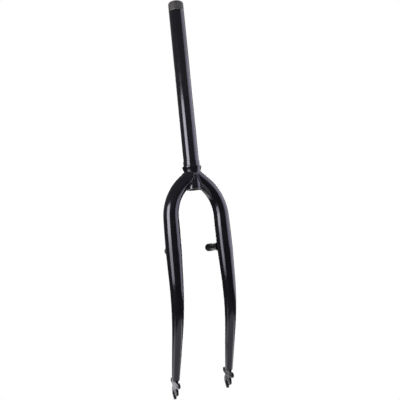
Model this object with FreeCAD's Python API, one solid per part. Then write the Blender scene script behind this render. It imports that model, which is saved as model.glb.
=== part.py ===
"""Rigid steel mountain bike fork with a threaded steerer, in millimetres.

+Z runs up the steerer, +X points forward and +Y to the rider's left. The origin lies on the
steerer's axis, on the shoulder that carries the lower headset race.
"""

import FreeCAD, Part
import math
import os

Vec = FreeCAD.Vector

# Steerer tube
STEERER_D = 28.6
STEERER_BORE_D = 25.4
STEERER_FOOT_D = 28.2
STEERER_ABOVE_SHOULDER = 312.0
STEERER_BELOW_SHOULDER = 43.0
STEERER_END_CHAMFER = 1.0

# Turned collar that carries the race
RACE_SEAT_D = 30.0
RACE_SEAT_H = 9.0
RACE_SEAT_CHAMFER = 0.4
SHOULDER_D = 34.8
SHOULDER_H = 3.0
SHOULDER_EDGE = 0.6
NECK_D = 32.0
NECK_CONE_H = 5.0
NECK_H = 4.0

# Blades
BLADE_D = 28.6
BLADE_TIP_D = 14.2
BLADE_WALL = 1.6
BLADE_CROWN_WIDTH = 26.4
BLADE_CROWN_DEPTH = 28.0
BLADE_SPACING_AT_BEND = 98.8
CROWN_BEND_R = 81.4
CROWN_BEND_DEG = 49.6
CROWN_BEND_DROP = 92.7
SWAGE_LENGTH = 60.0
SWAGE_PAST_BEND = 20.0
TAPER_START_DROP = 150.0
RAKE_START_DROP = 200.0
RAKE_R = 313.0
RAKE_DEG = 17.8
TIP_DROP = 370.0

# Dropouts
HUB_SPACING = 100.0
DROPOUT_T = 4.6
LAND_RAISE = 0.5
TONGUE_LENGTH = 16.0
TONGUE_W = 9.0
AXLE_FROM_TIP = 27.8
AXLE_AHEAD = 1.2
AXLE_D = 9.0
AXLE_CLEARANCE = 0.4
SLOT_REARWARD_DEG = 22.0
FRONT_PRONG_W = 4.0
FRONT_PRONG_LENGTH = 10.0
REAR_PRONG_W = 5.0
REAR_PRONG_LENGTH = 6.5
BODY_D = 20.5
BODY_BEHIND = 1.85
BODY_ABOVE = 2.6
LAND_W = 3.4
NECK_PLATE_W = 13.0
EYELET_D = 10.0
EYELET_ARM_W = 6.5
EYELET_ARM_FOOT = (4.0, 16.7)
EYELET_HOLE_D = 4.2
FRONT_EYELET = (13.4, 10.0)
REAR_EYELET = (-11.2, 9.2)

# Brake studs and their protective caps
STUD_SPACING = 82.6
STUD_DROP = 147.6
STUD_BASE_D = 14.0
STUD_ROOT = 7.0
STUD_SHOULDER_REACH = 29.5
STUD_D = 8.0
STUD_LENGTH = 18.5
STUD_EDGE = 0.5
STUD_BORE_D = 5.0
STUD_BORE_DEPTH = 14.0
CAP_WALL = 3.2
CAP_END = 3.2
CAP_EDGE = 2.4
CAP_CLEARANCE = 0.05
CAP_SEAT_GAP = 0.3

# Sections of the lofted tubes
BEND_STEP_DEG = 6.0
STRAIGHT_STEP = 13.0
DOME_STEPS = (20.0, 40.0, 58.0, 72.0)
HOLLOW_RUN_OUT = 10.0

SIDES = {"left": 1.0, "right": -1.0}


def lathe(profile):
    """Turn a closed outline of (radius, z) points about the steerer's axis."""
    points = [Vec(radius, 0, z) for radius, z in profile]
    face = Part.Face(Part.makePolygon(points + points[:1]))
    return face.revolve(Vec(0, 0, 0), Vec(0, 0, 1), 360)


def steerer_tube():
    """Straight tube, chamfered at its top end and turned down at its foot for the collar."""
    outer, foot, bore = STEERER_D / 2, STEERER_FOOT_D / 2, STEERER_BORE_D / 2
    top, bottom = STEERER_ABOVE_SHOULDER, -STEERER_BELOW_SHOULDER
    return lathe([
        (bore, bottom),
        (foot, bottom),
        (foot, RACE_SEAT_H),
        (outer, RACE_SEAT_H),
        (outer, top - STEERER_END_CHAMFER),
        (outer - STEERER_END_CHAMFER, top),
        (bore, top),
    ])


def collar_bottom():
    """Height at which the collar ends, below the shoulder."""
    return -(SHOULDER_H + NECK_CONE_H + NECK_H)


def collar(inner):
    """Turned ring with race seat, shoulder, cone and neck, of a given inner radius."""
    seat, shoulder, neck = RACE_SEAT_D / 2, SHOULDER_D / 2, NECK_D / 2
    return lathe([
        (inner, RACE_SEAT_H),
        (seat - RACE_SEAT_CHAMFER, RACE_SEAT_H),
        (seat, RACE_SEAT_H - RACE_SEAT_CHAMFER),
        (seat, 0),
        (shoulder - SHOULDER_EDGE, 0),
        (shoulder, -SHOULDER_EDGE),
        (shoulder, -SHOULDER_H),
        (neck, -SHOULDER_H - NECK_CONE_H),
        (neck, collar_bottom()),
        (inner, collar_bottom()),
    ])


def tip_half_spacing():
    """Distance from the middle plane to the middle of a dropout plate."""
    return HUB_SPACING / 2 + LAND_RAISE + DROPOUT_T / 2


def blade_stations():
    """Centre line of the left blade as (point, direction) from crown to tip."""
    bend_half = BLADE_SPACING_AT_BEND / 2
    lean = math.atan2(tip_half_spacing() - bend_half, TIP_DROP - CROWN_BEND_DROP)
    turn = math.radians(CROWN_BEND_DEG)
    rake = math.radians(RAKE_DEG)
    stations = []

    def crown_dir(angle):
        return Vec(0, math.sin(angle), -math.cos(angle))

    def bend_arm(angle):
        return CROWN_BEND_R * Vec(0, math.cos(angle), math.sin(angle))

    bend_centre = Vec(0, bend_half, -CROWN_BEND_DROP) - bend_arm(lean)

    def bend_point(angle):
        return bend_centre + bend_arm(angle)

    start = bend_point(turn)
    run_in = start.y / math.sin(turn)
    steps = max(2, math.ceil(run_in / STRAIGHT_STEP))
    for i in range(steps):
        share = i / steps
        stations.append((start - crown_dir(turn) * run_in * (1 - share), crown_dir(turn)))

    steps = math.ceil(CROWN_BEND_DEG / BEND_STEP_DEG)
    for i in range(steps):
        angle = turn + (lean - turn) * i / steps
        stations.append((bend_point(angle), crown_dir(angle)))

    leg = crown_dir(lean)
    leg_run = (RAKE_START_DROP - CROWN_BEND_DROP) / math.cos(lean)
    leg_start = bend_point(lean)
    steps = math.ceil(leg_run / STRAIGHT_STEP)
    for i in range(steps):
        stations.append((leg_start + leg * leg_run * i / steps, leg))

    rake_start = leg_start + leg * leg_run

    def rake_dir(angle):
        return leg * math.cos(angle) + Vec(1, 0, 0) * math.sin(angle)

    def rake_point(angle):
        return rake_start + RAKE_R * (leg * math.sin(angle) + Vec(1, 0, 0) * (1 - math.cos(angle)))

    steps = math.ceil(RAKE_R * rake / STRAIGHT_STEP)
    for i in range(steps):
        angle = rake * i / steps
        stations.append((rake_point(angle), rake_dir(angle)))

    end_start, end_dir = rake_point(rake), rake_dir(rake)
    end_run = (end_start.z + TIP_DROP) / -end_dir.z
    steps = math.ceil(end_run / STRAIGHT_STEP)
    for i in range(steps + 1):
        stations.append((end_start + end_dir * end_run * i / steps, end_dir))
    return stations


def mix(low, high, share):
    """Value between low and high, held at both ends."""
    return low + (high - low) * min(1.0, max(0.0, share))


def blade_half_sizes(point):
    """Half width and half depth of a blade at a point of its centre line."""
    drop = -point.z
    taper = mix(BLADE_D / 2, BLADE_TIP_D / 2, (drop - TAPER_START_DROP) / (TIP_DROP - TAPER_START_DROP))
    swage = (CROWN_BEND_DROP + SWAGE_PAST_BEND - drop) / SWAGE_LENGTH
    width = mix(taper, BLADE_CROWN_WIDTH / 2, swage)
    depth = mix(taper, BLADE_CROWN_DEPTH / 2, swage)
    return width, depth


def section(point, direction, width, depth):
    """Oval wire square to the centre line, its depth along the fork's fore and aft plane."""
    fore = Vec(1, 0, 0) - direction * direction.x
    fore.normalize()
    across = direction.cross(fore)
    ring = Part.Wire([Part.Circle(Vec(0, 0, 0), Vec(0, 0, 1), 1).toShape()])
    place = FreeCAD.Matrix(
        fore.x * depth, across.x * width, direction.x, point.x,
        fore.y * depth, across.y * width, direction.y, point.y,
        fore.z * depth, across.z * width, direction.z, point.z,
        0, 0, 0, 1)
    return ring.transformGeometry(place)


def blade_core(inset, with_tip):
    """Lofted solid along the left blade, set in by a given amount; a hollow runs out at the crown."""
    wires = []
    stations = blade_stations()
    if inset:
        crown, direction = stations[0]
        stations.insert(0, (crown - direction * HOLLOW_RUN_OUT, direction))
    for point, direction in stations:
        width, depth = blade_half_sizes(point)
        wires.append(section(point, direction, width - inset, depth - inset))
    if with_tip:
        tip, direction = stations[-1]
        radius = BLADE_TIP_D / 2 - inset
        for degrees in DOME_STEPS:
            angle = math.radians(degrees)
            ring = radius * math.cos(angle)
            wires.append(section(tip + direction * radius * math.sin(angle), direction, ring, ring))
    return Part.makeLoft(wires, True, False)


def post(radius, bottom, top):
    """Upright cylinder on the steerer's axis."""
    return Part.makeCylinder(radius, top - bottom, Vec(0, 0, bottom))


def tip_frame():
    """Blade tip, the direction it points in and the forward direction square to that."""
    tip, direction = blade_stations()[-1]
    down = Vec(direction.x, 0, direction.z)
    down.normalize()
    fore = Vec(-down.z, 0, down.x)
    return Vec(tip.x, 0, tip.z), down, fore


def plate(wire, thickness):
    """Plate from an outline in the middle plane, set about the left dropout's own plane."""
    slab = Part.Face(wire).extrude(Vec(0, thickness, 0))
    slab.translate(Vec(0, tip_half_spacing() - thickness / 2, 0))
    return slab


def disc(centre, radius, thickness=DROPOUT_T):
    """Round plate."""
    circle = Part.Circle(centre, Vec(0, 1, 0), radius)
    return plate(Part.Wire([circle.toShape()]), thickness)


def strip(start, end, width, thickness=DROPOUT_T):
    """Straight plate of a given width between two points."""
    along = end - start
    side = along.cross(Vec(0, 1, 0))
    side.normalize()
    half = side * width / 2
    corners = [start + half, end + half, end - half, start - half]
    return plate(Part.makePolygon(corners + corners[:1]), thickness)


def tongue():
    """The part of the plate that enters the slotted blade tip."""
    tip, down, _ = tip_frame()
    return strip(tip - down * TONGUE_LENGTH, tip + down * BLADE_TIP_D / 2, TONGUE_W)


def axle_point():
    """Centre of the wheel axle, in the middle plane."""
    tip, down, fore = tip_frame()
    return tip + down * AXLE_FROM_TIP + fore * AXLE_AHEAD


def dropout():
    """Left dropout: tongue, neck, two eyelets and two prongs round the axle slot."""
    tip, down, fore = tip_frame()
    axle = axle_point()
    opening = math.radians(SLOT_REARWARD_DEG)
    out = Vec(-math.sin(opening), 0, -math.cos(opening))
    side = Vec(-out.z, 0, out.x)
    slot_w = AXLE_D + AXLE_CLEARANCE
    land_t = DROPOUT_T + 2 * LAND_RAISE
    shape = disc(axle - side * BODY_BEHIND - out * BODY_ABOVE, BODY_D / 2)
    pieces = [strip(tip + down * BLADE_TIP_D / 4, axle, NECK_PLATE_W), tongue()]
    pieces.append(disc(axle, slot_w / 2 + LAND_W, land_t))
    prongs = ((1, FRONT_PRONG_W, FRONT_PRONG_LENGTH), (-1, REAR_PRONG_W, REAR_PRONG_LENGTH))
    for sign, width, length in prongs:
        root = axle + side * (slot_w + width) / 2 * sign
        end = root + out * (length - width / 2)
        pieces += [strip(root, end, width), disc(end, width / 2)]
    arm_ahead, arm_below = EYELET_ARM_FOOT
    arm_foot = tip + fore * arm_ahead + down * arm_below
    for ahead, below in (FRONT_EYELET, REAR_EYELET):
        eyelet = tip + fore * ahead + down * below
        pieces += [disc(eyelet, EYELET_D / 2), strip(eyelet, arm_foot, EYELET_ARM_W)]
    shape = shape.multiFuse(pieces).removeSplitter()
    slot_run = FRONT_PRONG_LENGTH + BODY_D
    cuts = [disc(axle, slot_w / 2, land_t), strip(axle, axle + out * slot_run, slot_w, land_t)]
    for ahead, below in (FRONT_EYELET, REAR_EYELET):
        cuts.append(disc(tip + fore * ahead + down * below, EYELET_HOLE_D / 2))
    for cut in cuts:
        shape = shape.cut(cut)
    return shape.Solids[0]


def blade(left_dropout):
    """Left blade: a hollow tube, mitred to steerer and collar, with a slot for the dropout."""
    outer = blade_core(0, True)
    inner = blade_core(BLADE_WALL, False)
    shape = outer.cut(inner)
    reach = SHOULDER_D
    shape = shape.cut(post(STEERER_FOOT_D / 2, -STEERER_BELOW_SHOULDER - reach, reach))
    shape = shape.cut(collar(0))
    shape = shape.cut(left_dropout)
    return max(shape.Solids, key=lambda solid: solid.Volume)


def along_x(profile, sign):
    """Turn an outline of (radius, x) points about the axis of a brake stud."""
    height, side = -STUD_DROP, sign * STUD_SPACING / 2
    points = [Vec(x, side, height + radius) for radius, x in profile]
    face = Part.Face(Part.makePolygon(points + points[:1]))
    return face.revolve(Vec(0, side, height), Vec(1, 0, 0), 360)


def brake_stud(blade_solid):
    """Left brake stud: a base shaped to the blade, and a pivot with a bolt bore."""
    base, pin, bore = STUD_BASE_D / 2, STUD_D / 2, STUD_BORE_D / 2
    shoulder = STUD_SHOULDER_REACH
    end = shoulder + STUD_LENGTH
    shape = along_x([
        (0, STUD_ROOT),
        (base, STUD_ROOT),
        (base, shoulder - STUD_EDGE),
        (base - STUD_EDGE, shoulder),
        (pin, shoulder),
        (pin, end - STUD_EDGE),
        (pin - STUD_EDGE, end),
        (bore, end),
        (bore, end - STUD_BORE_DEPTH),
        (0, end - STUD_BORE_DEPTH),
    ], 1.0)
    shape = shape.cut(blade_solid)
    return max(shape.Solids, key=lambda solid: solid.Volume)


def stud_cap(sign):
    """Moulded cap over the pivot, rounded at its closed end."""
    hole = STUD_D / 2 + CAP_CLEARANCE
    outer = hole + CAP_WALL
    start = STUD_SHOULDER_REACH + CAP_SEAT_GAP
    floor = STUD_SHOULDER_REACH + STUD_LENGTH + CAP_CLEARANCE
    end = floor + CAP_END
    shape = along_x([(hole, start), (outer, start), (outer, end), (0, end), (0, floor), (hole, floor)], sign)
    rim = [
        edge for edge in shape.Edges
        if abs(edge.BoundBox.XMin - end) < 1e-3 and abs(edge.BoundBox.XMax - end) < 1e-3
        and edge.BoundBox.ZLength > outer
    ]
    return shape.makeFillet(CAP_EDGE, rim).Solids[0]


def across(shape):
    """The same piece on the other side of the middle plane."""
    return shape.mirror(Vec(0, 0, 0), Vec(0, 1, 0))


def build():
    """All pieces by node name."""
    parts = {
        "steerer_tube": steerer_tube(),
        "crown_race_collar": collar(STEERER_FOOT_D / 2),
    }
    left_dropout = dropout()
    left_blade = blade(left_dropout)
    left_stud = brake_stud(blade_core(0, True))
    for name, shape in (("blade", left_blade), ("dropout", left_dropout), ("brake_stud", left_stud)):
        parts["left_" + name] = shape
        parts["right_" + name] = across(shape)
    for name, sign in SIDES.items():
        parts[name + "_stud_cap"] = stud_cap(sign)
    return parts


def main():
    """Write one file for each piece."""
    os.makedirs("parts", exist_ok=True)
    for name, shape in build().items():
        shape.exportStep(os.path.join("parts", name + ".step"))
        print(name, shape.ShapeType, len(shape.Solids), shape.isValid(), round(shape.Volume))


main()
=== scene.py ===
"""Dresses a rigid steel mountain bike fork in gloss black paint, with a bare threaded steerer end.

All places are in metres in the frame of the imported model: +Z runs up the steerer, +X points
forward, +Y to the rider's left, and the origin lies on the race shoulder.
"""

from __future__ import annotations

import logging
import math
from dataclasses import dataclass, field
from enum import Enum
from typing import Iterable, Sequence, Union

import bmesh
import bpy
from mathutils import Matrix, Vector

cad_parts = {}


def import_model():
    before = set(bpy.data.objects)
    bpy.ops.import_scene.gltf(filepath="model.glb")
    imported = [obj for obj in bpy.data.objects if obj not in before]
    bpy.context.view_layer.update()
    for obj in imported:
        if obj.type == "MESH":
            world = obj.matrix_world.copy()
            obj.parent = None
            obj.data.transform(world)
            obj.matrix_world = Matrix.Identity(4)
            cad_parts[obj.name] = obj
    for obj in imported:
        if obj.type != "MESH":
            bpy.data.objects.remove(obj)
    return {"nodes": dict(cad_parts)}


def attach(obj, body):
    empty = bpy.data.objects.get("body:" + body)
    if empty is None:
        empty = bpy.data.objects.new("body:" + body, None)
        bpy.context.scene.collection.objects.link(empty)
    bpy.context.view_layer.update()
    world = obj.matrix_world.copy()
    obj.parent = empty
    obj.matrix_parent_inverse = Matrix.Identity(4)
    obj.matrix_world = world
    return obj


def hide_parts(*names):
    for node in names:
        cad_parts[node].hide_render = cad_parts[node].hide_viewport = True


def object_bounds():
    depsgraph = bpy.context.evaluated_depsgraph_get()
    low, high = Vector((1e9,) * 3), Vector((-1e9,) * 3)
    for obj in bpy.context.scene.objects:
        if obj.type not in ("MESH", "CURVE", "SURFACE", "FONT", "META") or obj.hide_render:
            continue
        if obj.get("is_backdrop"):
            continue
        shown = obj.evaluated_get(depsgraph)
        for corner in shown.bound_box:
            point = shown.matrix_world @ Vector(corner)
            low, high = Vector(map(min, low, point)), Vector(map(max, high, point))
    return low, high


LOG = logging.getLogger("fork")
MM = 0.001
BODY = "root"
ON_AXIS = 0.0001 * MM
NOISE_MIDDLE = 0.5

Value = Union["Sock", float, Sequence[float]]
Colour = tuple[float, float, float, float]
Tint = tuple[float, float, float]
Range = tuple[float, float]
Face = Sequence[int]
Mesh = tuple[list[Vector], list[Face]]


class Side(Enum):
    """Side of the fork, by the sign of Y."""

    LEFT = 1
    RIGHT = -1

    @property
    def word(self) -> str:
        """Name of the side as the nodes spell it."""
        return self.name.lower()


class Slot(Enum):
    """Material slots of the record."""

    PAINT = "black_paint"
    RUBBER = "cap_rubber"


class Sock:
    """A node's output socket that can be used in sums."""

    def __init__(self, shader: "Shader", socket: bpy.types.NodeSocket) -> None:
        """Keep the socket and the shader that it belongs to.

        Args:
            shader: Node tree that new nodes go into.
            socket: The output socket.
        """
        self.shader = shader
        self.socket = socket

    def math(self, operation: str, *others: Value) -> "Sock":
        """Add a Math node with this socket first.

        Args:
            operation: The Math node's operation.
            others: Further inputs, sockets or numbers.

        Returns:
            The node's result.
        """
        inputs = dict(enumerate((self, *others)))
        return self.shader.node("ShaderNodeMath", {"operation": operation}, inputs)

    def flipped(self, operation: str, other: float) -> "Sock":
        """Add a Math node with a number first and this socket second."""
        return self.shader.node("ShaderNodeMath", {"operation": operation}, {0: other, 1: self})

    def __add__(self, other: Value) -> "Sock":
        """Sum of two values."""
        return self.math("ADD", other)

    def __radd__(self, other: float) -> "Sock":
        """Sum with a number on the left."""
        return self.flipped("ADD", other)

    def __sub__(self, other: Value) -> "Sock":
        """Difference of two values."""
        return self.math("SUBTRACT", other)

    def __rsub__(self, other: float) -> "Sock":
        """Difference with a number on the left."""
        return self.flipped("SUBTRACT", other)

    def __mul__(self, other: Value) -> "Sock":
        """Product of two values."""
        return self.math("MULTIPLY", other)

    def __rmul__(self, other: float) -> "Sock":
        """Product with a number on the left."""
        return self.flipped("MULTIPLY", other)

    def smooth(self, low: float, high: float) -> "Sock":
        """Soft step from 0 at one value to 1 at another.

        Args:
            low: Value where the step starts.
            high: Value where it ends.

        Returns:
            The step, held at 0 and 1.
        """
        settings = {"interpolation_type": "SMOOTHSTEP"}
        inputs = {"Value": self, "From Min": low, "From Max": high}
        return self.shader.node("ShaderNodeMapRange", settings, inputs)


class Shader:
    """A node tree under construction."""

    MIX_SHARE = 0
    MIX_LOW = 6
    MIX_HIGH = 7
    MIX_RESULT = 2

    def __init__(self, tree: bpy.types.NodeTree) -> None:
        """Empty the tree.

        Args:
            tree: Node tree of a material or of the world.
        """
        self.tree = tree
        self.tree.nodes.clear()

    def node(self, kind: str, settings: dict, inputs: dict, output: Union[int, str] = 0) -> Sock:
        """Add a node.

        Args:
            kind: The node's type.
            settings: Properties of the node, set first.
            inputs: Values or sockets by input name or index.
            output: Name or index of the output to return.

        Returns:
            The chosen output.
        """
        node = self.tree.nodes.new(kind)
        for name, value in settings.items():
            setattr(node, name, value)
        for key, value in inputs.items():
            self.feed(node.inputs[key], value)
        return Sock(self, node.outputs[output])

    def feed(self, socket: bpy.types.NodeSocket, value: Value) -> None:
        """Link a socket, or set its own value.

        Args:
            socket: Input socket.
            value: A Sock, a number or a colour.
        """
        if isinstance(value, Sock):
            self.tree.links.new(value.socket, socket)
        else:
            socket.default_value = value

    def mix(self, share: Value, low: Value, high: Value) -> Sock:
        """Blend two colours.

        Args:
            share: 0 for the first colour, 1 for the second.
            low: First colour.
            high: Second colour.

        Returns:
            The blended colour.
        """
        inputs = {self.MIX_SHARE: share, self.MIX_LOW: low, self.MIX_HIGH: high}
        return self.node("ShaderNodeMix", {"data_type": "RGBA"}, inputs, self.MIX_RESULT)

    def place(self) -> Sock:
        """Position on the object, in metres."""
        return self.node("ShaderNodeTexCoord", {}, {}, "Object")

    def parts(self, vector: Sock) -> list[Sock]:
        """The X, Y and Z of a vector."""
        return [self.node("ShaderNodeSeparateXYZ", {}, {0: vector}, axis) for axis in "XYZ"]

    def noise(self, place: Sock, scale: float, detail: float = 3.0) -> Sock:
        """Noise between about 0.3 and 0.7.

        Args:
            place: Position.
            scale: Cells to a metre.
            detail: Octaves.

        Returns:
            The noise value.
        """
        inputs = {"Vector": place, "Scale": scale, "Detail": detail}
        return self.node("ShaderNodeTexNoise", {}, inputs, "Fac")

    def bump(self, height: Sock, distance: float) -> Sock:
        """Turn a height into a normal.

        Args:
            height: Height from 0 to 1.
            distance: Height in metres at 1.

        Returns:
            The bent normal.
        """
        inputs = {"Strength": 1.0, "Distance": distance, "Height": height}
        return self.node("ShaderNodeBump", {}, inputs, "Normal")

    def close(self, kind: str, surface: Sock) -> None:
        """Link a surface to the tree's output node."""
        output = self.tree.nodes.new(kind)
        self.tree.links.new(surface.socket, output.inputs["Surface"])


def new_material(name: str) -> tuple[bpy.types.Material, Shader]:
    """Make a material with an empty node tree.

    Args:
        name: Name of the material.

    Returns:
        The material and its tree.
    """
    material = bpy.data.materials.new(name)
    material.use_nodes = True
    return material, Shader(material.node_tree)


class Finish:
    """A finish made of one principled shader."""

    name: str

    def surface(self, shader: Shader) -> dict:
        """Values of the surface, which each finish gives for itself.

        Args:
            shader: Tree of the material.

        Returns:
            Inputs of a principled shader by name.
        """
        raise NotImplementedError

    def make(self) -> bpy.types.Material:
        """Build the material.

        Returns:
            The material.
        """
        material, shader = new_material(self.name)
        bsdf = shader.node("ShaderNodeBsdfPrincipled", {}, self.surface(shader))
        shader.close("ShaderNodeOutputMaterial", bsdf)
        return material


@dataclass(frozen=True)
class GlossPaint(Finish):
    """Stoved black paint with a faint violet cast and a little orange peel."""

    name: str = "gloss_black_paint"
    deep: Colour = (0.0030, 0.0027, 0.0040, 1.0)
    thin: Colour = (0.0052, 0.0047, 0.0064, 1.0)
    cast: Colour = (0.90, 0.87, 1.0, 1.0)
    roughness: float = 0.12
    roughness_spread: float = 0.08
    cloud_scale: float = 35.0
    cloud_range: Range = (0.35, 0.65)
    peel_scale: float = 240.0
    peel_detail: float = 2.0
    peel_height: float = 0.004 * MM

    def coat(self, shader: Shader, place: Sock) -> tuple[Sock, Sock]:
        """The paint's colour and gloss, which vary with its thickness.

        Args:
            shader: Tree of the material.
            place: Position on the piece.

        Returns:
            Colour and roughness.
        """
        cloud = shader.noise(place, self.cloud_scale)
        colour = shader.mix(cloud.smooth(*self.cloud_range), self.deep, self.thin)
        return colour, self.roughness + self.roughness_spread * cloud * cloud

    def peel(self, shader: Shader, place: Sock) -> Sock:
        """Height of the orange peel, as a share of its full height."""
        return shader.noise(place, self.peel_scale, self.peel_detail)

    def surface(self, shader: Shader) -> dict:
        """Values of the painted surface.

        Args:
            shader: Tree of the material.

        Returns:
            Inputs of a principled shader by name.
        """
        place = shader.place()
        colour, roughness = self.coat(shader, place)
        return {
            "Base Color": colour,
            "Roughness": roughness,
            "Specular Tint": self.cast,
            "Normal": shader.bump(self.peel(shader, place), self.peel_height),
        }


@dataclass(frozen=True)
class SteererFinish(Finish):
    """Paint up to a masked line, with bare rolled steel on the thread above it and in the bore, and painted
    shade in the thread roots.
    """

    paint: GlossPaint
    outer_radius: float
    thread_depth: float
    bore_radius: float
    paint_line: float
    name: str = "steerer_paint_and_thread"
    # Painted shade: the root colour is a near-black laid into the thread roots, against the lighter crest
    # colour. The top face and its chamfer sit below the roots' radius, so they take it too.
    crest: Colour = (0.235, 0.232, 0.230, 1.0)
    root: Colour = (0.040, 0.038, 0.037, 1.0)
    oil: Colour = (0.135, 0.122, 0.112, 1.0)
    oil_share: float = 0.65
    bore_share: float = 0.4
    metal: float = 0.85
    line_spread: float = 0.5 * MM
    line_scale: float = 900.0
    line_fade: float = 0.15 * MM
    bore_skin: Range = (0.05 * MM, 0.25 * MM)
    mottle_scale: float = 330.0
    mottle_detail: float = 4.0
    mottle_range: Range = (0.38, 0.64)
    scratch_scale: float = 1500.0
    scratch_detail: float = 2.0
    roughness: float = 0.36
    mottle_roughness: float = 0.22
    scratch_roughness: float = 0.10
    grain_scale: float = 420.0
    grain_detail: float = 2.0
    grain_height: float = 0.03 * MM

    def surface(self, shader: Shader) -> dict:
        """Values of the painted and of the bare steel, mixed at the paint line.

        Args:
            shader: Tree of the material.

        Returns:
            Inputs of a principled shader by name.
        """
        place = shader.place()
        paint_colour, paint_roughness = self.paint.coat(shader, place)
        x, y, z = shader.parts(place)
        radius = (x * x + y * y).math("SQRT")
        ragged = (shader.noise(place, self.line_scale) - NOISE_MIDDLE) * self.line_spread
        above = (z + ragged).smooth(self.paint_line, self.paint_line + self.line_fade)
        inside = 1.0 - radius.smooth(*(self.bore_radius + depth for depth in self.bore_skin))
        bare = above.math("MAXIMUM", inside)
        painted = 1.0 - bare
        # Painted shade: by this radius mask the bare steel darkens from the crest colour at the thread
        # crests to the dark root colour in the roots and on the top face. The bore is held part of the way
        # back towards the crest colour.
        height = radius.smooth(self.outer_radius - self.thread_depth, self.outer_radius)
        mottle = shader.noise(place, self.mottle_scale, self.mottle_detail).smooth(*self.mottle_range)
        scratch = shader.noise(place, self.scratch_scale, self.scratch_detail)
        steel = shader.mix(mottle * self.oil_share, self.crest, self.oil)
        steel = shader.mix(height.math("MAXIMUM", inside * self.bore_share), self.root, steel)
        rough = self.roughness + self.mottle_roughness * mottle + self.scratch_roughness * scratch
        peel = self.paint.peel(shader, place) * (self.paint.peel_height / self.grain_height)
        grain = shader.noise(place, self.grain_scale, self.grain_detail)
        return {
            "Base Color": shader.mix(bare, paint_colour, steel),
            "Metallic": bare * self.metal,
            "Specular Tint": self.paint.cast,
            "Roughness": paint_roughness * painted + rough * bare,
            "Normal": shader.bump(peel * painted + grain * bare, self.grain_height),
        }


@dataclass(frozen=True)
class CapRubber(Finish):
    """Soft black moulding with a fine grain."""

    name: str = "moulded_cap_rubber"
    dark: Colour = (0.0045, 0.0042, 0.0045, 1.0)
    worn: Colour = (0.0085, 0.0078, 0.0078, 1.0)
    gloss: float = 0.08
    roughness: float = 0.52
    roughness_spread: float = 0.18
    cloud_scale: float = 180.0
    cloud_range: Range = (0.35, 0.68)
    grain_scale: float = 2400.0
    grain_detail: float = 2.0
    grain_height: float = 0.02 * MM

    def surface(self, shader: Shader) -> dict:
        """Values of the moulded surface.

        Args:
            shader: Tree of the material.

        Returns:
            Inputs of a principled shader by name.
        """
        place = shader.place()
        cloud = shader.noise(place, self.cloud_scale)
        grain = shader.noise(place, self.grain_scale, self.grain_detail)
        return {
            "Base Color": shader.mix(cloud.smooth(*self.cloud_range), self.dark, self.worn),
            "Roughness": self.roughness + self.roughness_spread * cloud,
            "Specular IOR Level": self.gloss,
            "Normal": shader.bump(grain, self.grain_height),
        }


@dataclass
class Finishes:
    """The fork's materials."""

    paint: bpy.types.Material
    plate_paint: bpy.types.Material
    stud_paint: bpy.types.Material
    steerer: bpy.types.Material
    rubber: bpy.types.Material


def add_piece(
    name: str,
    mesh_data: Mesh,
    material: bpy.types.Material,
    slot: Slot = Slot.PAINT,
    sharp_deg: float = 50.0,
) -> bpy.types.Object:
    """Make a mesh piece that rides on the fork.

    Args:
        name: Name of the piece.
        mesh_data: Corner points, and the corner indices of each face.
        material: Finish.
        slot: Material slot of the record; not used.
        sharp_deg: Edges that turn by more than this stay sharp.

    Returns:
        The new object.
    """
    points, faces = mesh_data
    mesh = bpy.data.meshes.new(name)
    mesh.from_pydata([tuple(point) for point in points], [], [tuple(face) for face in faces])
    work = bmesh.new()
    work.from_mesh(mesh)
    bmesh.ops.recalc_face_normals(work, faces=work.faces)
    limit = math.radians(sharp_deg)
    for face in work.faces:
        face.smooth = True
    for edge in work.edges:
        edge.smooth = not (edge.is_manifold and edge.calc_face_angle() > limit)
    work.to_mesh(mesh)
    work.free()
    mesh.materials.append(material)
    piece = bpy.data.objects.new(name, mesh)
    bpy.context.scene.collection.objects.link(piece)
    weighted = piece.modifiers.new("weighted_normals", "WEIGHTED_NORMAL")
    weighted.keep_sharp = True
    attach(piece, BODY)
    LOG.info("%s: %d faces", name, len(mesh.polygons))
    return piece


def ramp(low: float, high: float, share: float) -> float:
    """Value between two others, held at both ends."""
    return low + (high - low) * min(1.0, max(0.0, share))


def full_turn(count: int) -> list[float]:
    """Even angles round a circle."""
    return [2 * math.pi * i / count for i in range(count)]


def indices(points: list[Vector], count: int) -> list[int]:
    """Indices of the next points of a mesh that grows."""
    return list(range(len(points), len(points) + count))


def bridge(lower: Sequence[int], upper: Sequence[int]) -> list[Face]:
    """Faces between two closed rings of as many points."""
    count = len(lower)
    return [
        (lower[i], lower[(i + 1) % count], upper[(i + 1) % count], upper[i])
        for i in range(count)
    ]


def bridge_all(rings: Sequence[Sequence[int]]) -> list[Face]:
    """Faces between each closed ring and the next."""
    return [face for low, high in zip(rings, rings[1:]) for face in bridge(low, high)]


@dataclass(frozen=True)
class Corner:
    """A corner of a turned outline, with its rounding."""

    radius: float
    along: float
    rounding: float = 0.0


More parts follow.
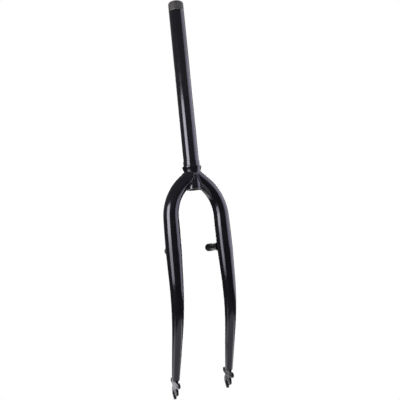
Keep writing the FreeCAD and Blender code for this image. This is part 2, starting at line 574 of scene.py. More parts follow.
@dataclass
class Turned:
    """A turned shape: a closed outline of corners about an axis."""

    corners: list[Corner]
    origin: Vector = field(default_factory=Vector)
    axis: Vector = field(default_factory=lambda: Vector((0, 0, 1)))
    across: Vector = field(default_factory=lambda: Vector((1, 0, 0)))
    segments: int = 96
    arc_steps: int = 4

    def outline(self) -> list[tuple[float, float]]:
        """Round the outline's corners.

        Returns:
            The outline as (radius, along) points.
        """
        points = []
        count = len(self.corners)
        for index, corner in enumerate(self.corners):
            here = Vector((corner.radius, corner.along))
            if not corner.rounding:
                points.append(tuple(here))
                continue
            before = self.corners[index - 1]
            after = self.corners[(index + 1) % count]
            back = (Vector((before.radius, before.along)) - here).normalized()
            ahead = (Vector((after.radius, after.along)) - here).normalized()
            turn = math.pi - back.angle(ahead)
            cut = corner.rounding * math.tan(turn / 2)
            start, end = here + back * cut, here + ahead * cut
            middle = here + (back + ahead).normalized() * math.hypot(cut, corner.rounding)
            for step in range(self.arc_steps + 1):
                share = step / self.arc_steps
                spoke = (start - middle).lerp(end - middle, share).normalized()
                points.append(tuple(middle + spoke * corner.rounding))
        return points

    def mesh(self) -> Mesh:
        """Turn the outline about the axis.

        Returns:
            Points and faces.
        """
        third = self.axis.cross(self.across)
        spokes = [
            self.across * math.cos(angle) + third * math.sin(angle)
            for angle in full_turn(self.segments)
        ]
        points: list[Vector] = []
        rings: list[list[int]] = []
        for radius, along in self.outline():
            middle = self.origin + self.axis * along
            if radius < ON_AXIS:
                rings.append([len(points)] * self.segments)
                points.append(middle)
            else:
                rings.append(indices(points, self.segments))
                points += [middle + spoke * radius for spoke in spokes]
        faces: list[Face] = []
        for face in bridge_all(rings + rings[:1]):
            distinct = list(dict.fromkeys(face))
            if len(distinct) > 2:
                faces.append(distinct)
        return points, faces


@dataclass
class Bead:
    """A weld bead along a closed path, laid in overlapping drops."""

    path: list[Vector]
    radius: float
    drop_pitch: float = 2.3 * MM
    drop_depth: float = 0.16
    fewest_drops: int = 6
    low_swell: float = 0.0
    wander: float = 0.05
    wander_rates: Range = (0.37, 0.113)
    rings_per_drop: int = 6
    sides: int = 14

    def walk(self) -> list[Vector]:
        """Spread points evenly along the path, as many to each drop.

        Returns:
            The points.
        """
        loop = self.path + self.path[:1]
        runs = [(b - a).length for a, b in zip(loop, loop[1:])]
        total = sum(runs)
        drops = max(self.fewest_drops, round(total / self.drop_pitch))
        count = drops * self.rings_per_drop
        points = []
        index, passed = 0, 0.0
        for i in range(count):
            goal = total * i / count
            while passed + runs[index] < goal:
                passed += runs[index]
                index += 1
            points.append(loop[index].lerp(loop[index + 1], (goal - passed) / runs[index]))
        return points

    def mesh(self) -> Mesh:
        """Lay the bead, thicker towards its lowest point by its low swell.

        Returns:
            Points and faces.
        """
        middles = self.walk()
        count = len(middles)
        points: list[Vector] = []
        rings: list[list[int]] = []
        centre = sum(middles, Vector()) / count
        top = max(middle.z for middle in middles)
        fall = top - min(middle.z for middle in middles)
        slow, slower = self.wander_rates
        for i, middle in enumerate(middles):
            along = (middles[(i + 1) % count] - middles[i - 1]).normalized()
            outward = middle - centre
            outward = (outward - along * outward.dot(along)).normalized()
            third = along.cross(outward)
            share = (i % self.rings_per_drop) / self.rings_per_drop
            swell = 1.0 - self.drop_depth * (1.0 - math.sin(math.pi * share))
            wander = 1.0 + self.wander * math.sin(i * slow) * math.sin(i * slower)
            girth = 1.0 + self.low_swell * ((top - middle.z) / fall) ** 2
            rings.append(indices(points, self.sides))
            for angle in full_turn(self.sides):
                spoke = outward * math.cos(angle) + third * math.sin(angle)
                points.append(middle + spoke * self.radius * girth * swell * wander)
        return points, bridge_all(rings + rings[:1])


@dataclass
class Steerer:
    """Steerer tube with a rolled thread at its top end."""

    diameter: float = 28.6 * MM
    bore: float = 25.4 * MM
    foot_diameter: float = 28.2 * MM
    top: float = 312.0 * MM
    bottom: float = -43.0 * MM
    step_height: float = 9.0 * MM
    chamfer: float = 1.0 * MM
    rim_drop: float = 0.10 * MM
    rim_inset: float = 0.12 * MM
    bore_chamfer: float = 0.25 * MM
    thread_pitch: float = 25.4 * MM / 26
    thread_depth: float = 0.55 * MM
    thread_length: float = 17.0 * MM
    thread_below_chamfer: float = 0.02 * MM
    thread_lead: float = 0.2 * MM
    run_in_turns: float = 1.5
    run_out_turns: float = 0.4
    run_out_depth: float = 0.25
    shoulder_depth: float = 0.6
    shoulder_rise: float = 0.05 * MM
    paint_gap: float = 0.4 * MM
    flat: float = 0.12
    segments: int = 96
    thread_steps: int = 6

    @property
    def paint_line(self) -> float:
        """Height where the paint ends."""
        return self.top - self.thread_length - self.paint_gap

    def thread_radius(self, share: float, turn: float, turns: float) -> float:
        """Radius of the thread across one pitch.

        Args:
            share: Place across the pitch, from 0 to 1.
            turn: Turns passed from the thread's lower end.
            turns: Turns in all.

        Returns:
            The radius.
        """
        rise = abs(2 * share - 1)
        height = min(1.0, max(0.0, (rise - self.flat) / (1 - 2 * self.flat)))
        run_out = (turns - turn) / self.run_out_turns + self.run_out_depth
        fade = min(1.0, turn / self.run_in_turns, run_out)
        return self.diameter / 2 - self.thread_depth * fade * (1 - height)

    def ring(self, points: list[Vector], radius: float, z: float) -> list[int]:
        """Add a level ring of points.

        Args:
            points: Points of the mesh, which grow.
            radius: Radius of the ring.
            z: Height of the ring.

        Returns:
            The ring's indices.
        """
        ring = indices(points, self.segments)
        for angle in full_turn(self.segments):
            points.append(Vector((radius * math.cos(angle), radius * math.sin(angle), z)))
        return ring

    def thread(self, points: list[Vector]) -> tuple[list[int], list[int], list[Face]]:
        """Add the thread as one helical strip.

        Args:
            points: Points of the mesh, which grow.

        Returns:
            The lower edge's and the upper edge's points, each from one seam to the next, and the faces.
        """
        across = self.thread_steps
        turns = math.floor(self.thread_length / self.thread_pitch) - 1
        top_of_strip = self.top - self.chamfer - self.thread_below_chamfer
        base = top_of_strip - (turns + 1) * self.thread_pitch
        count = turns * self.segments
        grid: dict[tuple[int, int], int] = {}

        def index(i: int, k: int) -> int:
            """Index of a point of the strip, which is added when it is new.

            Args:
                i: Steps round the axis from the lower end.
                k: Steps across the pitch.

            Returns:
                The point's index.
            """
            if k == across and i + self.segments <= count:
                return index(i + self.segments, 0)
            if (i, k) not in grid:
                turn = i / self.segments
                angle = 2 * math.pi * turn
                share = k / across
                radius = self.thread_radius(share, turn + share, turns + 1)
                z = base + self.thread_pitch * (turn + share)
                grid[i, k] = len(points)
                points.append(Vector((radius * math.cos(angle), radius * math.sin(angle), z)))
            return grid[i, k]

        faces: list[Face] = []
        for i in range(count):
            for k in range(across):
                faces.append((index(i, k), index(i + 1, k), index(i + 1, k + 1), index(i, k + 1)))
        lower = [index(i, 0) for i in range(self.segments)]
        lower += [index(0, k) for k in range(across, 0, -1)]
        last = count - self.segments
        upper = [index(i, across) for i in range(last, count + 1)]
        upper += [index(count, k) for k in range(across - 1, 0, -1)]
        return lower, upper, faces

    def collar_faces(self, ring: list[int], edge: list[int]) -> list[Face]:
        """Close the strip between a level ring and the thread's stepped edge.

        Args:
            ring: Points of the ring.
            edge: Points of the edge: one turn, then the step back to its first point.

        Returns:
            The faces.
        """
        faces: list[Face] = []
        count = self.segments
        for i in range(count - 1):
            faces.append((ring[i], ring[i + 1], edge[i + 1], edge[i]))
        step = edge[count:] + edge[:1]
        faces.append((ring[count - 1], ring[0], *reversed(step), edge[count - 1]))
        return faces

    def build(self, finishes: Finishes) -> None:
        """Make the tube.

        Args:
            finishes: Materials of the fork.
        """
        points: list[Vector] = []
        outer, bore, foot = self.diameter / 2, self.bore / 2, self.foot_diameter / 2
        lower, upper, faces = self.thread(points)
        tube = [
            (foot, self.bottom),
            (foot, self.step_height),
            (outer, self.step_height),
            (outer, points[lower[0]].z - self.thread_lead),
        ]
        rings = [self.ring(points, radius, z) for radius, z in tube]
        faces += bridge_all(rings)
        faces += self.collar_faces(rings[-1], lower)
        rim = [
            (outer - self.thread_depth * self.shoulder_depth, self.top - self.chamfer + self.shoulder_rise),
            (outer - self.chamfer, self.top - self.rim_drop),
            (outer - self.chamfer - self.rim_inset, self.top),
            (bore + self.bore_chamfer, self.top),
            (bore, self.top - self.bore_chamfer),
            (bore, self.bottom),
        ]
        crown = [self.ring(points, radius, z) for radius, z in rim]
        faces += self.collar_faces(crown[0], upper)
        faces += bridge_all(crown + rings[:1])
        piece = add_piece("threaded_steerer", (points, faces), finishes.steerer)
        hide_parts("steerer_tube")


@dataclass
class RaceCollar:
    """Turned collar with the race seat, its shoulder and the neck below."""

    inner: float = 28.2 * MM
    seat: float = 30.0 * MM
    seat_height: float = 9.0 * MM
    seat_edge: float = 0.35 * MM
    seat_fillet: float = 0.3 * MM
    shoulder: float = 34.8 * MM
    shoulder_height: float = 3.0 * MM
    shoulder_top_edge: float = 1.1 * MM
    shoulder_low_edge: float = 1.3 * MM
    neck: float = 32.0 * MM
    cone_height: float = 5.0 * MM
    cone_fillet: float = 2.5 * MM
    neck_height: float = 4.0 * MM
    neck_flare: float = 0.9 * MM

    def build(self, finishes: Finishes) -> None:
        """Make the collar.

        Args:
            finishes: Materials of the fork.
        """
        inner, seat, shoulder, neck = self.inner / 2, self.seat / 2, self.shoulder / 2, self.neck / 2
        cone = -self.shoulder_height - self.cone_height
        bottom = cone - self.neck_height
        turned = Turned([
            Corner(inner, self.seat_height),
            Corner(seat, self.seat_height, self.seat_edge),
            Corner(seat, 0.0, self.seat_fillet),
            Corner(shoulder, 0.0, self.shoulder_top_edge),
            Corner(shoulder, -self.shoulder_height, self.shoulder_low_edge),
            Corner(neck, cone, self.cone_fillet),
            Corner(neck - self.neck_flare, bottom),
            Corner(inner, bottom),
        ])
        piece = add_piece("race_collar", turned.mesh(), finishes.paint)
        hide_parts("crown_race_collar")


@dataclass
class Blade:
    """One tapered blade: bent inwards at the crown, straight, then raked forward."""

    side: Side
    foot_radius: float = 14.1 * MM
    root_overlap: float = 0.6 * MM
    diameter: float = 28.6 * MM
    tip_diameter: float = 14.2 * MM
    crown_width: float = 26.4 * MM
    crown_depth: float = 28.0 * MM
    spacing_at_bend: float = 98.8 * MM
    bend_radius: float = 81.4 * MM
    bend_deg: float = 49.6
    bend_drop: float = 92.7 * MM
    swage_length: float = 60.0 * MM
    swage_past_bend: float = 20.0 * MM
    taper_drop: float = 150.0 * MM
    rake_drop: float = 200.0 * MM
    rake_radius: float = 313.0 * MM
    rake_deg: float = 17.8
    tip_drop: float = 370.0 * MM
    tip_half_spacing: float = 52.8 * MM
    weld_radius: float = 1.9 * MM
    weld_sink: float = 0.9 * MM
    weld_drop_depth: float = 0.05
    weld_low_swell: float = 0.75
    weld_sharp_deg: float = 80.0
    segments: int = 72
    step: float = 4.0 * MM
    root_steps: int = 8
    dome_step_deg: int = 9

    def half_sizes(self, drop: float) -> tuple[float, float]:
        """Half width and half depth of the section.

        Args:
            drop: Depth below the race shoulder.

        Returns:
            Half width and half depth.
        """
        tapered = (drop - self.taper_drop) / (self.tip_drop - self.taper_drop)
        taper = ramp(self.diameter / 2, self.tip_diameter / 2, tapered)
        swage = (self.bend_drop + self.swage_past_bend - drop) / self.swage_length
        return ramp(taper, self.crown_width / 2, swage), ramp(taper, self.crown_depth / 2, swage)

    def spoke(self, direction: Vector, drop: float, angle: float) -> Vector:
        """Vector from the centre line to the surface.

        Args:
            direction: Direction of the centre line.
            drop: Depth below the race shoulder.
            angle: Angle round the section, from the front.

        Returns:
            The vector.
        """
        width, depth = self.half_sizes(drop)
        fore = Vector((1, 0, 0)) - direction * direction.x
        fore.normalize()
        across = direction.cross(fore)
        return fore * depth * math.cos(angle) + across * width * math.sin(angle)

    def section(self, point: Vector, direction: Vector, drop: float, share: float = 1.0) -> list[Vector]:
        """A ring of points round the centre line.

        Args:
            point: Middle of the ring.
            direction: Direction of the centre line.
            drop: Depth below the race shoulder that sets the section's size.
            share: Share of that size.

        Returns:
            The points.
        """
        return [
            point + self.spoke(direction, drop, angle) * share
            for angle in full_turn(self.segments)
        ]

    def heading(self, angle: float) -> Vector:
        """Direction of the centre line where it leans outwards by an angle."""
        return Vector((0, math.sin(angle), -math.cos(angle)))

    def bend_arm(self, angle: float) -> Vector:
        """Vector from the crown bend's centre to the centre line, for a lean of the line."""
        return Vector((0, math.cos(angle), math.sin(angle))) * self.bend_radius

    def route(self) -> tuple[list[tuple[Vector, Vector]], Vector, Vector]:
        """Stations below the straight run at the crown, on the left side.

        Returns:
            The stations as (point, direction), the bend's first point and its direction.
        """
        half = self.spacing_at_bend / 2
        lean = math.atan2(self.tip_half_spacing - half, self.tip_drop - self.bend_drop)
        turn = math.radians(self.bend_deg)
        rake = math.radians(self.rake_deg)
        centre = Vector((0, half, -self.bend_drop)) - self.bend_arm(lean)
        stations = []
        steps = math.ceil(self.bend_radius * (turn - lean) / self.step)
        for i in range(steps):
            angle = turn + (lean - turn) * i / steps
            stations.append((centre + self.bend_arm(angle), self.heading(angle)))
        leg = self.heading(lean)
        leg_start = centre + self.bend_arm(lean)
        leg_run = (self.rake_drop - self.bend_drop) / math.cos(lean)
        steps = math.ceil(leg_run / self.step)
        for i in range(steps):
            stations.append((leg_start + leg * leg_run * i / steps, leg))
        rake_start = leg_start + leg * leg_run
        fore = Vector((1, 0, 0))
        steps = math.ceil(self.rake_radius * rake / self.step)
        for i in range(steps + 1):
            angle = rake * i / steps
            sweep = leg * math.sin(angle) + fore * (1 - math.cos(angle))
            direction = leg * math.cos(angle) + fore * math.sin(angle)
            stations.append((rake_start + sweep * self.rake_radius, direction))
        end_start, end_direction = stations.pop()
        end_run = (end_start.z + self.tip_drop) / -end_direction.z
        steps = math.ceil(end_run / self.step)
        for i in range(steps + 1):
            stations.append((end_start + end_direction * end_run * i / steps, end_direction))
        return stations, centre + self.bend_arm(turn), self.heading(turn)

    def tip(self) -> tuple[Vector, Vector]:
        """Centre of the blade's tip and the direction it points in, on the left side."""
        return self.route()[0][-1]

    def mitre(self, radius: float, sink: float = 0.0) -> list[Vector]:
        """Line where the blade meets an upright cylinder about the steerer's axis.

        Args:
            radius: Radius of the cylinder.
            sink: Depth of the line below the blade's surface.

        Returns:
            A closed line of points, on the left side.
        """
        _, start, heading = self.route()
        line = []
        for rim in self.section(start, heading, -start.z, 1 - 2 * sink / self.crown_width):
            reach = math.sqrt(max(radius ** 2 - rim.x ** 2, 0.0))
            line.append(rim - heading * (rim.y - reach) / heading.y)
        return line

    def mirrored(self, points: Iterable[Vector]) -> list[Vector]:
        """Points moved to this blade's own side."""
        return [Vector((point.x, point.y * self.side.value, point.z)) for point in points]

    def rings(self) -> list[list[Vector]]:
        """Rings of points from inside the steerer's foot to the rounded tip.

        Returns:
            The rings, on the left side.
        """
        stations, start, heading = self.route()
        inside = self.mitre(self.foot_radius - self.root_overlap)
        first = self.section(start, heading, -start.z)
        rings = [
            [near.lerp(far, k / self.root_steps) for near, far in zip(inside, first)]
            for k in range(self.root_steps)
        ]
        rings += [self.section(point, direction, -point.z) for point, direction in stations]
        tip, direction = stations[-1]
        for degrees in range(self.dome_step_deg, 90, self.dome_step_deg):
            angle = math.radians(degrees)
            middle = tip + direction * math.sin(angle) * self.tip_diameter / 2
            rings.append(self.section(middle, direction, self.tip_drop, math.cos(angle)))
        return rings

    def build(self, finishes: Finishes) -> None:
        """Make the blade and its weld at the crown.

        Args:
            finishes: Materials of the fork.
        """
        points: list[Vector] = []
        loops: list[list[int]] = []
        rings = self.rings()
        for ring in rings:
            loops.append(indices(points, self.segments))
            points += ring
        faces = bridge_all(loops)
        faces.append(loops[-1])
        root = len(points)
        points.append(sum(rings[0], Vector()) / self.segments)
        faces += [(loops[0][(i + 1) % self.segments], loops[0][i], root) for i in range(self.segments)]
        piece = add_piece(f"{self.side.word}_painted_blade", (self.mirrored(points), faces), finishes.paint)
        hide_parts(f"{self.side.word}_blade")
        weld = Bead(
            self.mirrored(self.mitre(self.foot_radius - self.weld_sink, self.weld_sink)),
            self.weld_radius,
            drop_depth=self.weld_drop_depth,
            low_swell=self.weld_low_swell,
        )
        add_piece(f"{self.side.word}_crown_weld", weld.mesh(), finishes.paint, sharp_deg=self.weld_sharp_deg)


@dataclass
class Dropout:
    """Plate let into the blade's tip, with its edges broken and brazed round the tip."""

    side: Side
    blade: Blade
    thickness: float = 4.6 * MM
    edge: float = 0.45 * MM
    edge_segments: int = 3
    edge_profile: float = 0.5
    edge_from_deg: float = 40.0
    merge_distance: float = 0.002 * MM
    flat_deg: float = 0.5
    plate_sharp_deg: float = 35.0
    braze_sharp_deg: float = 60.0
    braze_radius: float = 2.4 * MM
    braze_thin_radius: float = 0.1 * MM
    braze_full_deg: float = 43.0
    braze_spread_deg: float = 62.0
    braze_root: float = 0.7 * MM
    braze_stations: int = 41
    braze_arc_steps: int = 8

    def plate(self, node: bpy.types.Object) -> Mesh:
        """Copy the solid's own mesh and round its edges.

        Args:
            node: The solid's object.

        Returns:
            Points and faces.
        """
        work = bmesh.new()
        work.from_mesh(node.data)
        bmesh.ops.remove_doubles(work, verts=work.verts, dist=self.merge_distance)
        bmesh.ops.dissolve_limit(
            work, angle_limit=math.radians(self.flat_deg), verts=work.verts, edges=work.edges)
        limit = math.radians(self.edge_from_deg)
        bmesh.ops.bevel(
            work,
            geom=[edge for edge in work.edges if edge.is_manifold and edge.calc_face_angle() > limit],
            offset=self.edge,
            segments=self.edge_segments,
            profile=self.edge_profile,
            affect="EDGES",
            clamp_overlap=True,
        )
        work.verts.index_update()
        points = [vert.co.copy() for vert in work.verts]
        faces = [[vert.index for vert in face.verts] for face in work.faces]
        work.free()
        return points, faces

    def braze_section(self, fillet: float) -> list[tuple[float, float]]:
        """Outline of the braze between the rounded tip and the plate.

        Args:
            fillet: Radius of its hollow face.

        Returns:
            Points as (distance from the tip's centre along the plate, height over the plate's middle).
        """
        ball, half = self.blade.tip_diameter / 2, self.thickness / 2
        middle = Vector((math.sqrt((ball + fillet) ** 2 - (half + fillet) ** 2), half + fillet))
        first = -middle.normalized()
        outline = []
        for step in range(self.braze_arc_steps + 1):
            spoke = first.lerp(Vector((0, -1)), step / self.braze_arc_steps).normalized()
            outline.append(tuple(middle + spoke * fillet))
        ring = math.sqrt(ball ** 2 - half ** 2)
        outline.append((ring, half - self.braze_root))
        outline.append((ring - self.braze_root, half))
        return outline

    def braze(self) -> Mesh:
        """Lay the two fillets where the plate leaves the blade's rounded tip.

        Returns:
            Points and faces.
        """
        tip, direction = self.blade.tip()
        down = Vector((direction.x, 0, direction.z)).normalized()
        fore = Vector((-down.z, 0, down.x))
        thin_run = self.braze_spread_deg - self.braze_full_deg
        points: list[Vector] = []
        faces: list[Face] = []
        for face in (1, -1):
            rings: list[list[int]] = []
            for station in range(self.braze_stations):
                degrees = self.braze_spread_deg * (2 * station / (self.braze_stations - 1) - 1)
                thinning = (abs(degrees) - self.braze_full_deg) / thin_run
                section = self.braze_section(ramp(self.braze_radius, self.braze_thin_radius, thinning))
                angle = math.radians(degrees)
                spoke = fore * math.sin(angle) + down * math.cos(angle)
                rings.append(indices(points, len(section)))
                points += [tip + spoke * reach + Vector((0, face * height, 0)) for reach, height in section]
            faces += bridge_all(rings)
            faces += [rings[0], rings[-1]]
        return self.blade.mirrored(points), faces

    def build(self, node: bpy.types.Object, finishes: Finishes) -> None:
        """Make the plate and its braze.

        Args:
            node: The solid's object.
            finishes: Materials of the fork.
        """
        paint = finishes.plate_paint
        piece = add_piece(
            f"{self.side.word}_painted_dropout", self.plate(node), paint, sharp_deg=self.plate_sharp_deg)
        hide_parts(f"{self.side.word}_dropout")
        add_piece(f"{self.side.word}_dropout_braze", self.braze(), paint, sharp_deg=self.braze_sharp_deg)


@dataclass
class BrakeStud:
    """Turned brake stud welded to a blade, and the moulded cap over its pivot."""

    side: Side
    spacing: float = 82.6 * MM
    drop: float = 147.6 * MM
    base: float = 14.0 * MM
    base_edge: float = 0.6 * MM
    root: float = 7.0 * MM
    root_edge: float = 0.5 * MM
    shoulder: float = 29.5 * MM
    pin: float = 8.0 * MM
    pin_length: float = 18.5 * MM
    pin_fillet: float = 0.2 * MM
    pin_edge: float = 0.5 * MM
    bore: float = 5.0 * MM
    bore_depth: float = 14.0 * MM
    bore_edge: float = 0.3 * MM
    cap_wall: float = 3.2 * MM
    cap_end: float = 3.2 * MM
    cap_edge: float = 2.4 * MM
    cap_mouth_edge: float = 0.25 * MM
    cap_rim_edge: float = 0.7 * MM
    cap_clearance: float = 0.05 * MM
    cap_seat_gap: float = 0.3 * MM
    blade_radius: float = 14.3 * MM
    blade_half_spacing: float = 50.05 * MM
    weld_radius: float = 1.1 * MM
    weld_low_swell: float = 0.6
    weld_sharp_deg: float = 80.0
    weld_points: int = 60
    segments: int = 64
    arc_steps: int = 6

    def turned(self, corners: list[Corner]) -> Turned:
        """A turned shape on the stud's axis."""
        middle = Vector((0, self.side.value * self.spacing / 2, -self.drop))
        return Turned(
            corners, middle, Vector((1, 0, 0)), Vector((0, 0, 1)), self.segments, self.arc_steps)

    def build_stud(self, finishes: Finishes) -> None:
        """Make the stud and its weld.

        Args:
            finishes: Materials of the fork.
        """
        base, pin, bore = self.base / 2, self.pin / 2, self.bore / 2
        end = self.shoulder + self.pin_length
        turned = self.turned([
            Corner(0.0, self.root),
            Corner(base, self.root, self.root_edge),
            Corner(base, self.shoulder, self.base_edge),
            Corner(pin, self.shoulder, self.pin_fillet),
            Corner(pin, end, self.pin_edge),
            Corner(bore, end, self.bore_edge),
            Corner(bore, end - self.bore_depth),
            Corner(0.0, end - self.bore_depth),
        ])
        paint = finishes.stud_paint
        piece = add_piece(f"{self.side.word}_turned_stud", turned.mesh(), paint)
        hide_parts(f"{self.side.word}_brake_stud")
        weld = Bead(self.weld_path(), self.weld_radius, low_swell=self.weld_low_swell)
        add_piece(f"{self.side.word}_stud_weld", weld.mesh(), paint, sharp_deg=self.weld_sharp_deg)

    def weld_path(self) -> list[Vector]:
        """Closed line where the stud's base meets the blade.

        Returns:
            Points of the line.
        """
        path = []
        for angle in full_turn(self.weld_points):
            y = self.spacing / 2 + self.base / 2 * math.cos(angle)
            z = -self.drop + self.base / 2 * math.sin(angle)
            away = y - self.blade_half_spacing
            x = math.sqrt(max(self.blade_radius ** 2 - away ** 2, self.root ** 2))
            path.append(Vector((x, y * self.side.value, z)))
        return path

    def build_cap(self, finishes: Finishes) -> None:
        """Make the cap.

        Args:
            finishes: Materials of the fork.
        """
        hole = self.pin / 2 + self.cap_clearance
        outer = hole + self.cap_wall
        start = self.shoulder + self.cap_seat_gap
        floor = self.shoulder + self.pin_length + self.cap_clearance
        end = floor + self.cap_end
        turned = self.turned([
            Corner(hole, start, self.cap_mouth_edge),
            Corner(outer, start, self.cap_rim_edge),
            Corner(outer, end, self.cap_edge),
            Corner(0.0, end),
            Corner(0.0, floor),
            Corner(hole, floor),
        ])
        piece = add_piece(f"{self.side.word}_moulded_cap", turned.mesh(), finishes.rubber, Slot.RUBBER)
        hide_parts(f"{self.side.word}_stud_cap")


NEUTRAL: Tint = (1.0, 1.0, 1.0)
COOL: Tint = (0.87, 0.855, 1.0)


@dataclass(frozen=True)
class Softbox:
    """A rectangular studio lamp, placed round the fork as the camera sees it."""

    name: str
    azimuth_deg: float
    span_deg: float
    bottom_deg: float
    top_deg: float
    distance: float
    radiance: float
    tint: Tint = NEUTRAL


@dataclass
class Studio:
    """Camera, lamps, floor and surroundings."""

    yaw_deg: float = 25.04
    pitch_deg: float = 6.863
    roll_deg: float = -5.666
    distance: float = 955.6 * MM
    target: Vector = field(default_factory=lambda: Vector((0, 0, -50.0 * MM)))
    focal_pixels: float = 530.5
    image_pixels: float = 400.0
    middle_pixel: tuple[float, float] = (194.40, 193.53)
    sensor: float = 36.0
    floor_height: float = -1000.0 * MM
    floor_radius: float = 1.5
    floor_shift: float = 0.4
    floor_segments: int = 128
    floor_grey: Colour = (0.85, 0.85, 0.85, 1.0)
    floor_shade: float = 0.25
    shade_range: Range = (0.3, 0.9)
    paper_deg: Range = (24.0, 16.0)
    pale: Colour = (1.0, 1.0, 1.0, 1.0)
    low_gloom: Colour = (0.080, 0.078, 0.084, 1.0)
    high_gloom: Colour = (0.26, 0.255, 0.27, 1.0)
    gloom_range: Range = (-0.05, 0.35)
    boxes: tuple[Softbox, ...] = (
        Softbox("left_softbox", -42.0, 37.0, -3.8, 23.2, 1.05, 11.0),
        Softbox("left_lower_softbox", -42.0, 37.0, -16.2, -3.8, 1.05, 5.7),
        Softbox("right_upper_softbox", 98.0, 64.0, 27.5, 48.0, 1.6, 2.1, COOL),
        Softbox("right_softbox", 98.0, 64.0, -6.0, 27.5, 1.6, 3.0, COOL),
        Softbox("right_lower_softbox", 106.0, 58.0, -20.2, -6.0, 1.6, 2.8, COOL),
        Softbox("low_front_rim", -138.4, 13.0, -31.8, -23.6, 1.6, 2.8),
        Softbox("low_side_rim", -125.4, 13.0, -34.0, -25.7, 1.6, 4.0),
        Softbox("low_left_fill", -80.0, 50.0, -46.0, -34.5, 0.85, 1.8),
        Softbox("low_right_fill", 105.0, 50.0, -46.0, -40.5, 0.9, 2.0),
        Softbox("back_left_strip", -173.0, 7.0, -26.0, 25.0, 1.9, 4.5),
        Softbox("back_right_strip", 173.0, 7.0, -26.0, 25.0, 1.9, 4.5),
    )

    def axes(self) -> tuple[Vector, Vector, Vector]:
        """Level directions as the camera stands.

        Returns:
            To the camera's right, away from it, and up.
        """
        yaw = math.radians(self.yaw_deg)
        right = Vector((-math.sin(yaw), -math.cos(yaw), 0))
        away = Vector((math.cos(yaw), -math.sin(yaw), 0))
        return right, away, Vector((0, 0, 1))

    def look(self) -> Vector:
        """Direction in which the camera looks.

        Returns:
            A unit vector.
        """
        _, away, up = self.axes()
        pitch = math.radians(self.pitch_deg)
        return away * math.cos(pitch) + up * math.sin(pitch)

    def camera(self) -> None:
        """Make the camera at the photo's own place."""
        right, away, up = self.axes()
        pitch, roll = math.radians(self.pitch_deg), math.radians(self.roll_deg)
        look = self.look()
        rise = up * math.cos(pitch) - away * math.sin(pitch)
        side = right * math.cos(roll) + rise * math.sin(roll)
        top = rise * math.cos(roll) - right * math.sin(roll)
        data = bpy.data.cameras.new("photo_camera")
        data.sensor_width = self.sensor
        data.lens = self.sensor * self.focal_pixels / self.image_pixels
        half = self.image_pixels / 2
        data.shift_x = (half - self.middle_pixel[0]) / self.image_pixels
        data.shift_y = (self.middle_pixel[1] - half) / self.image_pixels
        camera = bpy.data.objects.new("photo_camera", data)
        place = Matrix((side, top, -look)).transposed().to_4x4()
        place.translation = self.target - look * self.distance
        camera.matrix_world = place
        bpy.context.scene.collection.objects.link(camera)
        bpy.context.scene.camera = camera

    def lamp(self, box: Softbox) -> None:
        """Make one softbox.

        Args:
            box: Its place, spread and brightness.
        """
        right, away, up = self.axes()
        azimuth = math.radians(box.azimuth_deg)
        out = right * math.sin(azimuth) - away * math.cos(azimuth)
        low = box.distance * math.tan(math.radians(box.bottom_deg))
        high = box.distance * math.tan(math.radians(box.top_deg))
        data = bpy.data.lights.new(box.name, "AREA")
        data.shape = "RECTANGLE"
        data.size = 2 * box.distance * math.tan(math.radians(box.span_deg) / 2)
        data.size_y = high - low
        data.energy = box.radiance * math.pi * data.size * data.size_y
        data.color = box.tint
        lamp = bpy.data.objects.new(box.name, data)
        place = Matrix((up.cross(out), up, out)).transposed().to_4x4()
        place.translation = out * box.distance + up * (low + high) / 2
        lamp.matrix_world = place
        bpy.context.scene.collection.objects.link(lamp)

    def seen(self, shader: Shader, mirrored: Value = 1.0) -> Sock:
        """How far a ray sees the white paper.

        Args:
            shader: Tree of the floor or of the world.
            mirrored: Share of the white that reflections and glass see.

        Returns:
            1 for the camera's own rays, and that share for mirrored ones.
        """
        camera = shader.node("ShaderNodeLightPath", {}, {}, "Is Camera Ray")
        glossy = shader.node("ShaderNodeLightPath", {}, {}, "Is Glossy Ray")
        through = shader.node("ShaderNodeLightPath", {}, {}, "Is Transmission Ray")
        return camera.math("MAXIMUM", glossy.math("MAXIMUM", through) * mirrored)

    def floor_white(self, middle: Vector) -> bpy.types.Material:
        """Make the floor's material: white paper that keeps some shadow near its middle.

        Args:
            middle: Middle of the floor.

        Returns:
            The material.
        """
        material, shader = new_material("studio_floor_white")
        diffuse = shader.node("ShaderNodeBsdfDiffuse", {}, {"Color": self.floor_grey})
        glow = shader.node("ShaderNodeEmission", {}, {"Color": self.pale, "Strength": 1.0})
        x, y, _ = shader.parts(shader.place())
        dx, dy = x - middle.x, y - middle.y
        reach = (dx * dx + dy * dy).math("SQRT")
        fade = reach.smooth(*(share * self.floor_radius for share in self.shade_range))
        white = self.seen(shader) * (1.0 - self.floor_shade * (1.0 - fade))
        surface = shader.node("ShaderNodeMixShader", {}, {0: white, 1: diffuse, 2: glow})
        shader.close("ShaderNodeOutputMaterial", surface)
        return material

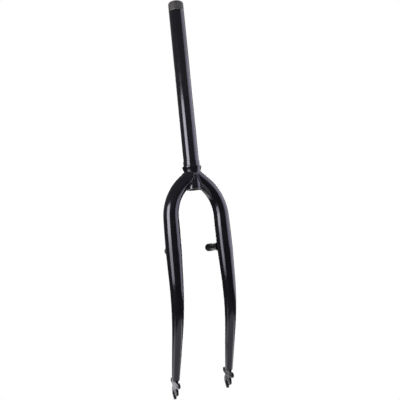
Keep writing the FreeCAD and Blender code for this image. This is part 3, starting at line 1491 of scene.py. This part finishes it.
    def floor(self) -> None:
        """Make the pale round floor."""
        _, away, up = self.axes()
        middle = away * self.floor_shift
        mesh = bpy.data.meshes.new("studio_floor")
        work = bmesh.new()
        bmesh.ops.create_circle(
            work, cap_ends=True, radius=self.floor_radius, segments=self.floor_segments)
        bmesh.ops.translate(work, verts=work.verts, vec=middle + up * self.floor_height)
        work.to_mesh(mesh)
        work.free()
        mesh.materials.append(self.floor_white(middle))
        floor = bpy.data.objects.new("studio_floor", mesh)
        bpy.context.scene.collection.objects.link(floor)
        floor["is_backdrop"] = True

    def world(self) -> None:
        """White paper wherever the camera looks; reflections see it only behind the fork."""
        world = bpy.data.worlds.new("studio_world")
        world.use_nodes = True
        bpy.context.scene.world = world
        shader = Shader(world.node_tree)
        heading = shader.node("ShaderNodeTexCoord", {}, {}, "Generated")
        inputs = {0: heading, 1: tuple(self.look())}
        facing = shader.node("ShaderNodeVectorMath", {"operation": "DOT_PRODUCT"}, inputs, "Value")
        paper = facing.smooth(*(math.cos(math.radians(degrees)) for degrees in self.paper_deg))
        _, _, rise = shader.parts(heading)
        room = shader.mix(rise.smooth(*self.gloom_range), self.low_gloom, self.high_gloom)
        colour = shader.mix(self.seen(shader, paper), room, self.pale)
        background = shader.node("ShaderNodeBackground", {}, {"Color": colour, "Strength": 1.0})
        shader.close("ShaderNodeOutputWorld", background)

    def build(self) -> None:
        """Set the whole studio up."""
        self.camera()
        for box in self.boxes:
            self.lamp(box)
        self.floor()
        self.world()
        bpy.context.scene.view_settings.view_transform = "Standard"


def corners(box: tuple[Vector, Vector]) -> list[list[float]]:
    """A box's two corners as plain lists."""
    return [[float(value) for value in corner] for corner in box]


def make_finishes(steerer: Steerer) -> Finishes:
    """Make the fork's materials.

    Args:
        steerer: The tube, whose thread and bore stay bare.

    Returns:
        The materials.
    """
    paint = GlossPaint()
    bare_end = SteererFinish(
        paint, steerer.diameter / 2, steerer.thread_depth, steerer.bore / 2, steerer.paint_line)
    plate_paint = GlossPaint("gloss_black_paint_on_plate", peel_scale=170.0, peel_height=0.12 * MM)
    stud_paint = GlossPaint("dull_black_paint_on_stud", cast=(0.40, 0.38, 0.44, 1.0), roughness=0.26)
    return Finishes(
        paint=paint.make(),
        plate_paint=plate_paint.make(),
        stud_paint=stud_paint.make(),
        steerer=bare_end.make(),
        rubber=CapRubber().make(),
    )


def main() -> None:
    """Dress the fork and set up its studio."""
    logging.basicConfig(level=logging.INFO, format="%(name)s %(message)s")
    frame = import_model()
    cad_box = corners(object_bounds())
    steerer = Steerer()
    finishes = make_finishes(steerer)
    steerer.build(finishes)
    RaceCollar().build(finishes)
    for side in Side:
        blade = Blade(side)
        blade.build(finishes)
        Dropout(side, blade).build(frame["nodes"][f"{side.word}_dropout"], finishes)
        stud = BrakeStud(side)
        stud.build_stud(finishes)
        stud.build_cap(finishes)
    Studio().build()
    bpy.context.view_layer.update()
    {"cad": cad_box, "visual": corners(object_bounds())}
    LOG.info("pieces are in place")


if __name__ == "__main__":
    main()
